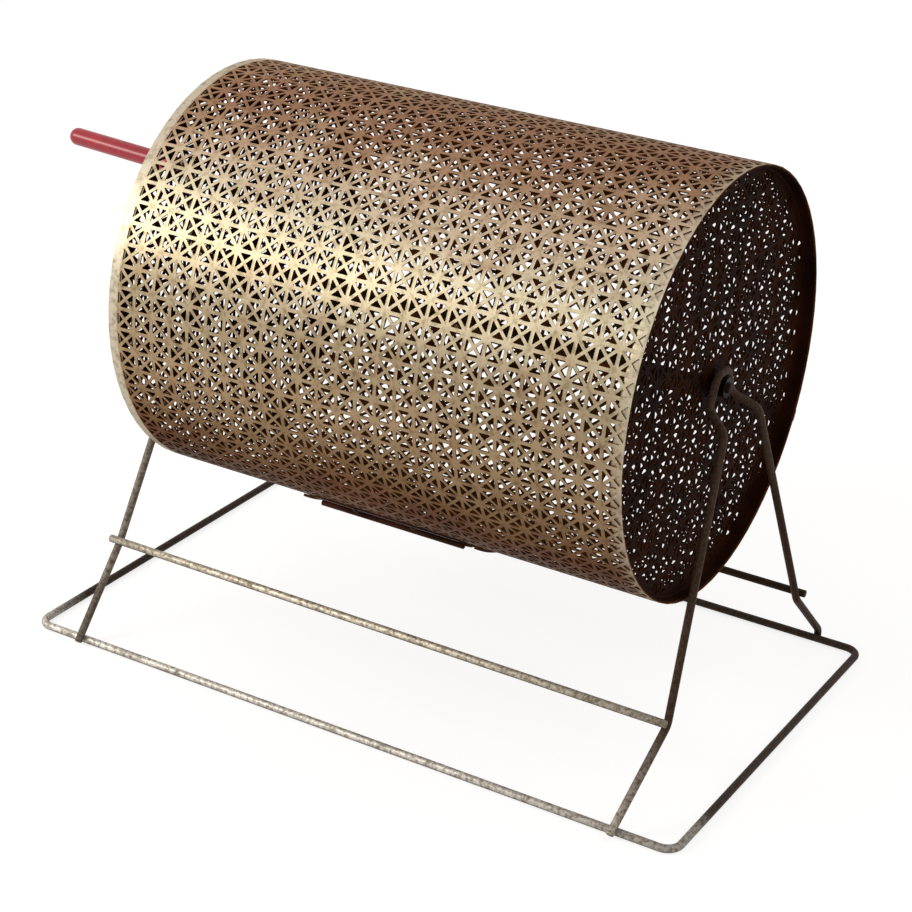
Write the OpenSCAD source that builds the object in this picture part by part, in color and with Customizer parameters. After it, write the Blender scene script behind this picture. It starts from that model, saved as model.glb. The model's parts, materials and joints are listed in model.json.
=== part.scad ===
// Table-top raffle drum: a perforated brass drum with a curved door, turned by a crank
// on a through axle and carried by a stand of bent round wire.
// X runs along the axle with the crank on the left, Y to the back, Z up.
// The origin is the middle of the stand, on the table.

/* [Drum shell] */
// Outside diameter of the rolled shell
drum_d = 252.8; // [240:0.1:262]
// Length of the shell
drum_len = 336.8; // [310:0.1:350]
// Thickness of the perforated sheet
sheet_t = 0.8; // [0.6:0.05:1]
// Plain border left at the crank end of the shell
end_border = 5.6; // [4:0.1:12]
// Width of the lap where the rolled sheet closes on itself
seam_w = 6.8; // [6:0.1:10]
// Place of the lap round the drum, from the back towards the top
seam_deg = 333; // [325:1:345]

/* [Star pattern] */
// Side of one cell of the star pattern on the shell
cell = 48; // [36:1:52]
// Side of one cell on the flat end discs
disc_cell = 25.4; // [24:0.1:40]
// Width of the straight bars, as a share of the cell
straight_share = 0.145; // [0.1:0.005:0.2]
// Width of the diagonal bars, as a share of the cell
diagonal_share = 0.12; // [0.08:0.005:0.16]

/* [End caps] */
// Depth of each end disc inside the shell's edge
disc_recess = 7.5; // [6.5:0.1:9]
// How far the flange stays short of the shell's edge
flange_short = 1; // [0.5:0.1:2]
// Plain margin round the rim of each disc
disc_margin = 5; // [3:0.1:10]
// Gap between a cap's flange and the shell
cap_gap = 0.05; // [0.02:0.01:0.2]

/* [Axle and crank] */
// Diameter of the axle and crank rod
rod_d = 6.35; // [5.5:0.05:7]
// Distance of the crank arm from the middle of the drum
crank_x = 203; // [201:0.5:215]
// Height of the straight part of the crank arm above the axle
arm_h = 36.3; // [30:0.1:60]
// Bend radius on the centre line of the crank rod
rod_bend = 8; // [7:0.5:10]
// How far the grip leans outwards from the axle's direction
grip_tilt = 2.7; // [0:0.1:10]
// Length of the grip
grip_len = 83; // [60:0.5:95]
// Diameter of the grip
grip_d = 11.2; // [10:0.1:14]
// Gap between the crank's bend and the grip
grip_start = 4.2; // [2:0.1:8]
// Wall of the grip beyond the end of the rod
grip_tip = 3; // [2:0.1:5]
// Length of axle standing out of the right sleeve
axle_over = 2; // [1:0.1:4]

/* [Hubs and bearings] */
// Diameter of the round plate riveted behind each disc
hub_plate_d = 21.5; // [19:0.1:26]
// Thickness of that plate
hub_plate_t = 1.5; // [1:0.1:2.5]
// Diameter of the hub's boss
boss_d = 12.7; // [11.5:0.1:13.5]
// Length of the boss beyond its plate
boss_len = 4; // [3.8:0.1:6]
// Circle on which the hub rivets stand
hub_rivet_circle = 17.2; // [16.8:0.1:17.6]
// Shank diameter of every hub rivet
hub_rivet_d = 2; // [1.6:0.1:2.2]
// Diameter of the set screws
screw_d = 2.4; // [2:0.1:2.6]
// Outside diameter of the thrust washers
washer_d = 12; // [10:0.1:13]
// Thickness of the thrust washers
washer_t = 0.8; // [0.5:0.1:1.2]
// Outside diameter of the bearing sleeves
sleeve_d = 12; // [10.5:0.1:14]
// Length of the bearing sleeves
sleeve_len = 8; // [7:0.1:10]
// Radial running clearance of the axle in its sleeves
run_r = 0.08; // [0.05:0.01:0.1]
// Axial gap on each side of a thrust washer
run_x = 0.1; // [0.05:0.01:0.2]

/* [Stand] */
// Diameter of all the stand's wire
wire_d = 4.76; // [4:0.02:5.4]
// Height of the axle above the table
axle_h = 217.2; // [208:0.1:230]
// Overall length of the base loop
base_len = 448.2; // [430:0.1:480]
// Overall width of the base loop
base_w = 274.1; // [255:0.1:290]
// Corner radius on the centre line of the base loop
corner_r = 9; // [7:0.5:24]
// Distance of the front feet from the middle of the base
front_foot_x = 185.5; // [184:0.1:189]
// How far the front feet run on past the rail
front_foot_past = 4.2; // [3:0.1:4.6]
// Distance of the back feet from the middle of the base
foot_x = 191; // [188:0.1:192]
// Distance of the knees from the middle, along the axle
knee_x = 191.8; // [190:0.1:193]
// Distance of the knees from the axle's plane
knee_y = 90.4; // [80:0.1:100]
// Height of the knees
knee_h = 50; // [42:0.5:60]
// Height at which a leg turns down to its back foot
ankle_h = 6.5; // [6:0.1:13]
// Distance of the shoulders from the middle, along the axle
shoulder_x = 180.3; // [179.5:0.1:184]
// Distance of the shoulders from the axle's plane
shoulder_y = 23; // [17:0.1:24]
// Depth of the shoulders below the axle
shoulder_drop = 17.5; // [16:0.1:22]
// Distance from the axle's plane at which the wire turns up again
inner_y = 15; // [13:0.1:16]
// Depth of that turn below the axle
inner_drop = 8.8; // [8:0.1:11]
// Half the width of the arch over the sleeve
arch_y = 6.8; // [6.6:0.1:8]
// Bend radius on the centre line of the legs' large bends
leg_bend = 14; // [10:0.5:18]
// Bend radius on the centre line of the legs' small bends
small_bend = 6; // [5:0.1:6.5]
// How far the stretchers reach past the knees on their long side
stretcher_long = 4; // [2.5:0.1:8]
// How far they reach past the knees on their short side
stretcher_short = 1.2; // [0:0.1:2.4]

/* [Door] */
// Length of the door's window along the drum
window_len = 114; // [104:0.1:130]
// Width of the window round the drum
window_arc = 70; // [60:0.1:74]
// Place of the window's middle along the drum
door_mid = -9.5; // [-20:0.5:10]
// How far the door overlaps the shell at its ends
door_lap = 5.5; // [4:0.1:8]
// How far the door's free edge overlaps the shell
free_lap = 4.5; // [3:0.1:6]
// Place of the hinge round the drum
hinge_deg = 239.5; // [236:0.5:244]
// Gap between the shell and the door lying on it
door_gap = 0.3; // [0.25:0.01:0.5]
// Width of the strip that stiffens the door's ends
rim_w = 5; // [4:0.1:8]
// Width of the strip that stiffens the door's free edge
free_rim_w = 14; // [13:0.1:18]

/* [Door hinge] */
// Length of the hinge
hinge_len = 99; // [85:0.5:102]
// Place of the hinge's middle along the drum
hinge_mid = -7; // [-9:0.5:-5]
// Outside diameter of the hinge's knuckles
knuckle_d = 3.6; // [3.2:0.05:4]
// Diameter of the hinge pin
pin_d = 1.6; // [1.4:0.05:1.8]
// Number of knuckles
knuckle_n = 5; // [3:2:7]
// Gap between neighbouring knuckles
knuckle_gap = 0.3; // [0.2:0.05:0.5]
// Width of each hinge leaf
leaf_w = 9; // [8:0.1:11]
// Thickness of the hinge leaves and of the catch's plates
leaf_t = 0.8; // [0.6:0.05:1]
// Shank diameter of the small rivets
rivet_d = 2.4; // [2:0.1:2.8]

/* [Catch] */
// Width of the hasp along the drum
hasp_w = 22; // [20:0.1:28]
// Distance from the hasp's hinge to its tip
hasp_len = 26.5; // [26:0.1:28]
// Diameter of the hasp's knuckles
hasp_knuckle_d = 3.2; // [3:0.05:3.6]
// Diameter of the hasp's pin
hasp_pin_d = 1.4; // [1.2:0.05:1.6]
// Distance from the door's free edge to the staple
staple_reach = 8.5; // [8:0.1:9.5]
// Diameter of the staple's wire
staple_wire = 2; // [1.6:0.1:2.2]
// Bend radius on the centre line of the staple
staple_r = 5; // [4.5:0.1:5.4]
// Height of the staple's legs above the shell
staple_h = 5.5; // [5:0.1:6]

/* [Hidden] */

drum_r = drum_d / 2;
half_len = drum_len / 2;
degree = 180 / (PI * drum_r);
straight_bar = straight_share * cell;

// The window, and the door that covers it
knuckle_r = knuckle_d / 2;
hinge_r = drum_r + door_gap + 0.05 + knuckle_r;
door_edge_off = knuckle_r + 0.4;
door_a0 = hinge_deg + door_edge_off * degree;
window_a0 = door_a0 + 4 * degree;
window_a1 = window_a0 + window_arc * degree;
door_a1 = window_a1 + free_lap * degree;
window_z0 = door_mid - window_len / 2;
window_z1 = door_mid + window_len / 2;
door_r = drum_r + door_gap;
rim_r = door_r + sheet_t;
seat = 0.05;
pin_run = 0.08;
free_land = free_lap + staple_reach + 6;

// Cell boundaries of the star pattern, along and round the drum
function bay(a, b, step) =
    let (n = max(1, round((b - a) / step)))
    [for (i = [0:n - 1]) [a + (b - a) * i / n, a + (b - a) * (i + 1) / n]];
cell_deg = cell * degree;
window_cols = bay(window_z0 - straight_bar / 2, window_z1 + straight_bar / 2, cell);
window_rows = bay(window_a0 - straight_bar / 2 * degree,
                  window_a1 + straight_bar / 2 * degree, cell_deg);
side_cols = concat(bay(-half_len + end_border, window_cols[0][0], cell),
                   bay(window_cols[len(window_cols) - 1][1], half_len, cell));
other_rows = concat(bay(window_a1 + free_land * degree,
                        seam_deg - seam_w / 2 * degree, cell_deg),
                    bay(seam_deg + seam_w / 2 * degree, window_rows[0][0] + 360, cell_deg));

// Stations along the axle, from the disc out to the arch of the leg frame
disc_out = half_len - disc_recess;
disc_in = disc_out - sheet_t;
washer_x = disc_out + run_x;
sleeve_x = washer_x + washer_t + run_x;
sleeve_end = sleeve_x + sleeve_len;
arch_x = sleeve_x + sleeve_len / 2;
arch_h = axle_h + (sleeve_d + wire_d) / 2;
rail_y = (base_w - wire_d) / 2;
rail_x = (base_len - wire_d) / 2;
foot_y = rail_y + wire_d;
foot_clear = 0.4;

// The catch
hasp_knuckle_r = hasp_knuckle_d / 2;
base_r = rim_r + seat + sheet_t;
hasp_r = base_r + 0.25 + hasp_knuckle_r;
hasp_off = hasp_knuckle_r + 0.4;
hasp_leaf_w = 6;
hasp_a = door_a1 - 3.4 * degree - hasp_off * degree;
staple_a = door_a1 + staple_reach * degree;
hasp_plate_r = hasp_r - leaf_t / 2;

// Frames and small helpers
function unit(v) = v / norm(v);

// Draws in the drum's own frame: z along the axle, polar angle from the back to the top
module on_drum() {
    translate([0, 0, axle_h]) rotate([90, 0, 90]) children();
}

// Draws behind an end disc, with z from its inner face towards the drum's middle
module behind_disc(side) {
    on_drum() rotate([side > 0 ? 180 : 0, 0, 0]) translate([0, 0, -disc_in]) children();
}

module arc_strip(r, t, a0, a1, z0, z1) {
    rotate([0, 0, a0]) rotate_extrude(angle = a1 - a0, $fn = 160)
        translate([r, z0]) square([t, z1 - z0]);
}

// The same strip's outline, seen along the axle
module arc_outline(r, t, a0, a1) {
    reach = 1.2 * (r + t);
    intersection() {
        rotate(a0 + 180) difference() {
            circle(r = r + t, $fn = 160);
            circle(r = r, $fn = 160);
        }
        polygon([[0, 0], reach * [cos(a0), sin(a0)],
                 reach * [cos((a0 + a1) / 2), sin((a0 + a1) / 2)], reach * [cos(a1), sin(a1)]]);
    }
}

module tube(d, bore, h) {
    difference() {
        cylinder(d = d, h = h, $fn = 48);
        translate([0, 0, -1]) cylinder(d = bore, h = h + 2, $fn = 48);
    }
}

// A radial pin through the drum's wall, from radius r0 to r1
module radial(a, z, d, r0, r1) {
    rotate([0, 0, a]) translate([r0, 0, z]) rotate([0, 90, 0])
        cylinder(d = d, h = r1 - r0, $fn = 24);
}

// A dome-headed rivet set radially: shank from r0 to r1, heads outside both
module rivet(a, z, d, r0, r1) {
    radial(a, z, d, r0 - 0.3, r1 + 0.3);
    rotate([0, 0, a]) translate([r1, 0, z]) rotate([0, 90, 0])
        cylinder(d1 = 1.9 * d, d2 = 1.1 * d, h = 0.45 * d, $fn = 24);
    rotate([0, 0, a]) translate([r0 - 0.35 * d - 0.03, 0, z]) rotate([0, 90, 0])
        cylinder(d1 = 1.1 * d, d2 = 1.6 * d, h = 0.35 * d, $fn = 24);
}

// One of the four openings between the bars of a star cell, across its side b
function opening(a, b, bar, brace) =
    let (k = a / b, s = brace / 2 * sqrt(1 + k * k), y = (b - bar) / 2)
    [[0, s / k], [k * y - s, y], [s - k * y, y]];

// Turns the points of an opening by q quarter turns
function turned(points, q) =
    [for (p = points) q == 0 ? p : q == 1 ? [-p[1], p[0]] : q == 2 ? -p : [p[1], -p[0]]];

// Cuts the openings of one cell through a wall near radius r
module cell_cut(row, col, r) {
    around = (row[1] - row[0]) / degree;
    along = col[1] - col[0];
    bar = straight_share * cell;
    brace = diagonal_share * cell;
    rotate([0, 0, (row[0] + row[1]) / 2]) translate([r - 6, 0, (col[0] + col[1]) / 2])
        rotate([90, 0, 90])
            for (q = [0:3])
                linear_extrude(12)
                    polygon(turned(q % 2 == 0 ? opening(around, along, bar, brace)
                                              : opening(along, around, bar, brace), q));
}

// Round wire along a route of corners, each rounded by its own radius
wire_sides = 12;
function rounded(p0, p1, p2, r, n) =
    let (u = unit(p0 - p1), v = unit(p2 - p1), half = acos(u * v) / 2,
         centre = p1 + unit(u + v) * r / sin(half), turn = 180 - 2 * half,
         a = p1 + u * r / tan(half) - centre, b = p1 + v * r / tan(half) - centre)
    [for (i = [0:n]) centre + (sin((1 - i / n) * turn) * a + sin(i / n * turn) * b) / sin(turn)];
function route(corners, radii, n) =
    [corners[0],
     for (i = [1:len(corners) - 2])
         each rounded(corners[i - 1], corners[i], corners[i + 1], radii[i - 1], n),
     corners[len(corners) - 1]];

module wire(path, d) {
    last = len(path) - 1;
    heading = [for (i = [0:last])
        unit(i == 0 ? path[1] - path[0]
             : i == last ? path[last] - path[last - 1]
             : unit(path[i + 1] - path[i]) + unit(path[i] - path[i - 1]))];
    side = [for (i = 0, s = unit(cross(heading[0], [1, 0, 0])); i <= last;
                 i = i + 1, s = i > last ? s : unit(s - (s * heading[i]) * heading[i])) s];
    points = [for (i = [0:last], k = [0:wire_sides - 1])
        let (turn = 360 * k / wire_sides)
        path[i] + d / 2 * (cos(turn) * side[i] + sin(turn) * cross(heading[i], side[i]))];
    faces = [[for (k = [0:wire_sides - 1]) k],
             [for (k = [wire_sides - 1:-1:0]) last * wire_sides + k],
             for (i = [0:last - 1], k = [0:wire_sides - 1])
                 let (a = i * wire_sides + k, b = i * wire_sides + (k + 1) % wire_sides,
                      c = b + wire_sides, e = a + wire_sides)
                 each [[a, e, b], [b, e, c]]];
    polyhedron(points = points, faces = faces, convexity = 6);
}

// Stand
module base_loop() {
    straight_x = 2 * (rail_x - corner_r);
    straight_y = 2 * (rail_y - corner_r);
    color("#8f8473") translate([0, 0, wire_d / 2]) {
        for (s = [-1, 1]) {
            translate([-straight_x / 2, s * rail_y, 0]) rotate([0, 90, 0])
                cylinder(d = wire_d, h = straight_x, $fn = 36);
            translate([s * rail_x, straight_y / 2, 0]) rotate([90, 0, 0])
                cylinder(d = wire_d, h = straight_y, $fn = 36);
        }
        for (corner = [[1, 1, 0], [-1, 1, 90], [-1, -1, 180], [1, -1, 270]])
            translate([corner[0] * straight_x / 2, corner[1] * straight_y / 2, 0])
                rotate([0, 0, corner[2]]) rotate_extrude(angle = 90, $fn = 64)
                    translate([corner_r, 0]) circle(d = wire_d, $fn = 36);
    }
}

// One side of a leg frame, from the knee up to the arch over the sleeve
leg_corners = [[knee_x, knee_y, knee_h], [shoulder_x, shoulder_y, axle_h - shoulder_drop],
               [arch_x, inner_y, axle_h - inner_drop], [arch_x, arch_y, arch_h]];
leg_radii = [leg_bend, small_bend + 3, small_bend + 3, small_bend];

// The back foot turns down behind the rail; the front one runs straight on over it
back_foot = [[foot_x, foot_y, foot_clear], [foot_x, foot_y, ankle_h]];
to_rail = [rail_y - knee_y, wire_d / 2 - knee_h];
foot_lean = atan2(to_rail[1], to_rail[0]) + asin((wire_d + seat) / norm(to_rail));
foot_run = sqrt(to_rail * to_rail - pow(wire_d + seat, 2)) + front_foot_past;
front_foot = [front_foot_x, knee_y + foot_run * cos(foot_lean),
              knee_h + foot_run * sin(foot_lean)];

module leg_frame(side) {
    back = [for (p = concat(back_foot, leg_corners)) [side * p[0], p[1], p[2]]];
    near = concat([front_foot], leg_corners);
    front = [for (i = [len(near) - 1:-1:0]) [side * near[i][0], -near[i][1], near[i][2]]];
    radii = concat([small_bend], leg_radii, [for (i = [3:-1:0]) leg_radii[i]]);
    color("#6f6557") wire(route(concat(back, front), radii, 6), wire_d);
}

// The stretchers lie in the hollow of the knees, on the side away from the drum
knee_up = unit([shoulder_y - knee_y, axle_h - shoulder_drop - knee_h]);
function stretcher_place(knee_foot) =
    let (knee_cut = leg_bend * (1 / sin(acos(knee_foot * knee_up) / 2) - 1))
    [knee_y, knee_h] + unit(knee_foot + knee_up) * (wire_d + knee_cut + seat);

module stretcher(side) {
    stretcher_at = stretcher_place(side < 0 ? [cos(foot_lean), sin(foot_lean)]
                                            : unit([foot_y - knee_y, ankle_h - knee_h]));
    reach = knee_x + wire_d / 2;
    low = side < 0 ? stretcher_long - wire_d / 2 : stretcher_short - wire_d / 2;
    high = side < 0 ? stretcher_short - wire_d / 2 : stretcher_long - wire_d / 2;
    color("#7d7263") translate([-reach - low, side * stretcher_at[0], stretcher_at[1]])
        rotate([0, 90, 0]) cylinder(d = wire_d, h = 2 * reach + low + high, $fn = 36);
}

module sleeve(side) {
    color("#3b332b") on_drum()
        translate([0, 0, side > 0 ? sleeve_x : -sleeve_end])
            tube(sleeve_d, rod_d + 2 * run_r, sleeve_len);
}

// Drum
seam_rivet_z = [for (i = [-2:2]) i * (half_len - 26) / 2];
hinge_rivet_z = [for (i = [0:len(window_cols) - 2]) window_cols[i][1]];
shell_rivet_a = hinge_deg - (door_edge_off + leaf_w / 2) * degree;
door_rivet_a = door_a0 + (leaf_w - 2.2) * degree;

module drum_shell() {
    color("#b08d4c") on_drum() difference() {
        translate([0, 0, -half_len]) linear_extrude(drum_len) difference() {
            union() {
                rotate(seam_deg) circle(r = drum_r, $fn = 160);
                arc_outline(drum_r - sheet_t / 2, 1.5 * sheet_t,
                            seam_deg - seam_w / 2 * degree, seam_deg + seam_w / 2 * degree);
            }
            rotate(seam_deg + seam_w / 3 * degree) circle(r = drum_r - sheet_t, $fn = 160);
        }
        arc_strip(drum_r - 3, 6, window_a0, window_a1, window_z0, window_z1);
        for (row = other_rows, col = concat(side_cols, window_cols)) cell_cut(row, col, drum_r);
        for (row = window_rows, col = side_cols) cell_cut(row, col, drum_r);
        for (z = seam_rivet_z) radial(seam_deg, z, rivet_d + 0.1, drum_r - 3, drum_r + 3);
        for (z = hinge_rivet_z)
            radial(shell_rivet_a, z, rivet_d + 0.1, drum_r - 3, drum_r + 3);
        for (s = [-1, 1])
            radial(staple_a, door_mid + s * staple_r, staple_wire + 0.1, drum_r - 3, drum_r + 3);
    }
}

module seam_rivets() {
    color("#9a7b42") on_drum()
        for (z = seam_rivet_z)
            rivet(seam_deg, z, rivet_d, drum_r - sheet_t, drum_r + sheet_t);
}

// The disc's openings: whole ones only, clear of the rim and of the hub's plate
module end_cap(side) {
    r = drum_r - sheet_t - cap_gap;
    reach = ceil(r / disc_cell);
    flange = disc_recess - flange_short;
    color("#5b4527") on_drum() rotate([side > 0 ? 0 : 180, 0, 0]) {
        translate([0, 0, disc_out - sheet_t]) linear_extrude(sheet_t) difference() {
            circle(r = r, $fn = 160);
            circle(d = rod_d + 0.4, $fn = 36);
            for (i = [-reach:reach - 1], j = [-reach:reach - 1], q = [0:3]) {
                corners = turned(opening(disc_cell, disc_cell, straight_share * disc_cell,
                                         diagonal_share * disc_cell), q);
                place = [for (c = corners) c + disc_cell * [i + 0.5, j + 0.5]];
                far = max([for (p = place) norm(p)]);
                near = min([for (p = place) norm(p)]);
                if (far < r - disc_margin && near > hub_plate_d / 2 + 0.5) polygon(place);
            }
            for (k = [0:2]) rotate([0, 0, 90 + 120 * k]) translate([hub_rivet_circle / 2, 0])
                circle(d = hub_rivet_d + 0.1, $fn = 24);
        }
        translate([0, 0, disc_out - sheet_t]) rotate_extrude($fn = 160)
            translate([r - sheet_t, 0]) square([sheet_t, flange + sheet_t]);
    }
}

// Each hub's plate is riveted to the disc's inner face, with its boss inside the drum
module hub(side) {
    color("#4a3b28") behind_disc(side) difference() {
        union() {
            cylinder(d = hub_plate_d, h = hub_plate_t, $fn = 48);
            cylinder(d = boss_d, h = hub_plate_t + boss_len, $fn = 48);
        }
        translate([0, 0, -1])
            cylinder(d = rod_d + 0.1, h = hub_plate_t + boss_len + 2, $fn = 48);
        for (k = [0:2]) rotate([0, 0, -90 - 120 * k])
            translate([hub_rivet_circle / 2, 0, -1])
                cylinder(d = hub_rivet_d + 0.1, h = hub_plate_t + 1.6, $fn = 24);
        translate([0, 0, hub_plate_t + boss_len / 2]) rotate([90, 0, 0])
            cylinder(d = screw_d + 0.1, h = boss_d, $fn = 24);
    }
}

module hub_rivets(side) {
    color("#3d3122") behind_disc(side)
        for (k = [0:2]) rotate([0, 0, -90 - 120 * k]) translate([hub_rivet_circle / 2, 0, 0]) {
            translate([0, 0, -sheet_t - 0.1])
                cylinder(d = hub_rivet_d, h = sheet_t + hub_plate_t + 0.2, $fn = 24);
            translate([0, 0, hub_plate_t])
                cylinder(d1 = 1.6 * hub_rivet_d, d2 = hub_rivet_d, h = 0.8, $fn = 24);
            translate([0, 0, -sheet_t - 0.8])
                cylinder(d1 = hub_rivet_d, d2 = 1.6 * hub_rivet_d, h = 0.8, $fn = 24);
        }
}

module set_screws() {
    depth = (boss_d - rod_d) / 2 - 0.4;
    color("#2f2a26") for (side = [-1, 1]) behind_disc(side)
        translate([0, -rod_d / 2 - 0.06, hub_plate_t + boss_len / 2])
            rotate([90, 0, 0]) difference() {
                cylinder(d = screw_d, h = depth, $fn = 24);
                translate([-screw_d, -0.25, depth - 0.9]) cube([2 * screw_d, 0.5, 2]);
            }
}

module washer(side) {
    color("#6a5c48") on_drum() rotate([side > 0 ? 0 : 180, 0, 0])
        translate([0, 0, washer_x]) tube(washer_d, rod_d + 0.3, washer_t);
}

// Axle and crank, bent from one rod
module bend(angle) {
    rotate_extrude(angle = angle, $fn = 64) translate([rod_bend, 0])
        circle(d = rod_d, $fn = 36);
}

// The frame at the start of the rod's last straight length, with y along it
module at_tang() {
    translate([-crank_x - rod_bend, 0, axle_h + rod_bend + arm_h]) rotate([90, 0, 0])
        rotate([0, 0, 90 - grip_tilt]) translate([rod_bend, 0, 0]) rotate([-90, 0, 0])
            children();
}

tang_len = grip_start + grip_len - grip_tip;

module axle_crank() {
    color("#6b5f4f") {
        translate([-crank_x + rod_bend, 0, axle_h]) rotate([0, 90, 0])
            cylinder(d = rod_d, h = crank_x - rod_bend + sleeve_end + axle_over, $fn = 48);
        translate([-crank_x + rod_bend, 0, axle_h + rod_bend]) rotate([90, 0, 0])
            rotate([0, 0, 180]) bend(90);
        translate([-crank_x, 0, axle_h + rod_bend]) cylinder(d = rod_d, h = arm_h, $fn = 36);
        translate([-crank_x - rod_bend, 0, axle_h + rod_bend + arm_h]) rotate([90, 0, 0])
            bend(90 - grip_tilt);
        at_tang() translate([0, 0, -0.4])
            cylinder(d = rod_d - 0.05, h = tang_len + 0.4, $fn = 36);
    }
}

// Red grip: a round-ended sleeve over the rod, with a rolled lip at its mouth
module grip() {
    r = grip_d / 2;
    bore = rod_d / 2 + 0.02;
    color("#b0263a") at_tang() translate([0, 0, grip_start]) rotate_extrude($fn = 48)
        difference() {
            union() {
                translate([0, 0.8]) square([r, grip_len - r - 0.8]);
                square([r - 0.8, grip_len - r]);
                translate([r - 0.8, 0.8]) circle(r = 0.8, $fn = 24);
                intersection() {
                    translate([0, grip_len - r]) circle(r = r, $fn = 48);
                    square([r, grip_len]);
                }
            }
            translate([0, -1]) square([bore, grip_len - grip_tip + 1.05]);
        }
}

// The outline of a curved leaf whose edge is rolled round its pin
module rolled_edge(leaf_r, far, at, axis_r, d, pin) {
    difference() {
        union() {
            arc_outline(leaf_r, leaf_t, min(far, at), max(far, at));
            rotate(at) translate([axis_r, 0]) circle(d = d, $fn = 36);
        }
        rotate(at) translate([axis_r, 0]) circle(d = pin + 2 * pin_run, $fn = 36);
    }
}

// Hinge: knuckles shared out in turn between the shell's leaf and the door's
function knuckle_spans(z0, z1, n, gap) =
    [for (i = [0:n - 1])
        [z0 + (z1 - z0) * i / n + gap / 2, z0 + (z1 - z0) * (i + 1) / n - gap / 2]];
hinge_spans = knuckle_spans(hinge_mid - hinge_len / 2, hinge_mid + hinge_len / 2,
                            knuckle_n, knuckle_gap);

// A leaf with its rolled knuckles: one outline along the hinge, notched for the other leaf
module hinge_leaf(others, leaf_r, far, near, rivet_a) {
    z0 = hinge_spans[0][0];
    z1 = hinge_spans[knuckle_n - 1][1];
    beyond = 2 * hinge_deg - near;
    difference() {
        translate([0, 0, z0]) linear_extrude(z1 - z0)
            rolled_edge(leaf_r, far, hinge_deg, hinge_r, knuckle_d, pin_d);
        for (i = others)
            arc_strip(drum_r - 2, 10, min(near, beyond), max(near, beyond),
                      hinge_spans[i][0] - knuckle_gap, hinge_spans[i][1] + knuckle_gap);
        for (z = hinge_rivet_z) radial(rivet_a, z, rivet_d + 0.1, drum_r - 3, drum_r + 6);
    }
}

module hinge_leaf_shell() {
    color("#3a332c") on_drum()
        hinge_leaf([1:2:knuckle_n - 2], drum_r + seat,
                   hinge_deg - (door_edge_off + leaf_w) * degree,
                   hinge_deg - door_edge_off * degree, shell_rivet_a);
}

module hinge_leaf_door() {
    color("#3a332c") on_drum()
        hinge_leaf([0:2:knuckle_n - 1], rim_r + seat,
                   door_a0 + leaf_w * degree, door_a0, door_rivet_a);
}

module hinge_pin() {
    color("#7a7064") on_drum() rotate([0, 0, hinge_deg])
        translate([hinge_r, 0, hinge_mid - hinge_len / 2 - 0.5])
            cylinder(d = pin_d, h = hinge_len + 1, $fn = 24);
}

module hinge_rivets_shell() {
    color("#4d4338") on_drum() for (z = hinge_rivet_z)
        rivet(shell_rivet_a, z, rivet_d, drum_r - sheet_t, drum_r + seat + leaf_t);
}

module hinge_rivets_door() {
    color("#4d4338") on_drum() for (z = hinge_rivet_z)
        rivet(door_rivet_a, z, rivet_d, door_r, rim_r + seat + leaf_t);
}

// Door: a curved sheet of the same pattern with stiffening strips on three sides
hasp_rivet_z = [for (s = [-1, 1]) door_mid + s * (hasp_w / 2 - 4)];
hasp_rivet_a = hasp_a - (hasp_off + hasp_leaf_w / 2) * degree;

module door_panel() {
    color("#a98745") on_drum() difference() {
        arc_strip(door_r, sheet_t, door_a0, door_a1, window_z0 - door_lap,
                  window_z1 + door_lap);
        for (row = window_rows, col = window_cols) cell_cut(row, col, drum_r);
        for (z = hinge_rivet_z)
            radial(door_rivet_a, z, rivet_d + 0.1, drum_r - 3, drum_r + 6);
        for (z = hasp_rivet_z)
            radial(hasp_rivet_a, z, rivet_d + 0.1, drum_r - 3, drum_r + 6);
    }
}

module door_rim() {
    z0 = window_z0 - door_lap;
    z1 = window_z1 + door_lap;
    color("#8c7040") on_drum() difference() {
        arc_strip(rim_r + seat, sheet_t, door_a0, door_a1, z0, z1);
        arc_strip(rim_r - 1, 4, door_a0 - 1, door_a1 - free_rim_w * degree, z0 + rim_w,
                  z1 - rim_w);
        for (z = hasp_rivet_z)
            radial(hasp_rivet_a, z, rivet_d + 0.1, drum_r - 3, drum_r + 6);
    }
}

// Catch: a hinged hasp on the door's free edge drops over a staple on the shell
hasp_spans = knuckle_spans(door_mid - hasp_w / 2, door_mid + hasp_w / 2, 3, knuckle_gap);

module hasp_base() {
    color("#352f29") on_drum() difference() {
        translate([0, 0, hasp_spans[0][0]]) linear_extrude(hasp_spans[2][1] - hasp_spans[0][0])
            rolled_edge(base_r + seat, hasp_a - (hasp_off + hasp_leaf_w) * degree, hasp_a,
                        hasp_r, hasp_knuckle_d, hasp_pin_d);
        arc_strip(drum_r - 2, 12, hasp_a - hasp_off * degree, hasp_a + hasp_off * degree,
                  hasp_spans[1][0] - knuckle_gap, hasp_spans[1][1] + knuckle_gap);
        for (z = hasp_rivet_z)
            radial(hasp_rivet_a, z, rivet_d + 0.1, drum_r - 3, drum_r + 6);
    }
}

module hasp_rivets() {
    color("#4d4338") on_drum() for (z = hasp_rivet_z)
        rivet(hasp_rivet_a, z, rivet_d, door_r, base_r + seat + leaf_t);
}

module hasp_pin() {
    color("#7a7064") on_drum() rotate([0, 0, hasp_a])
        translate([hasp_r, 0, door_mid - hasp_w / 2 - 0.4])
            cylinder(d = hasp_pin_d, h = hasp_w + 0.8, $fn = 24);
}

slot_back = staple_wire / 2 + 0.8;
slot_front = staple_wire / 2 + 4;

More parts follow.
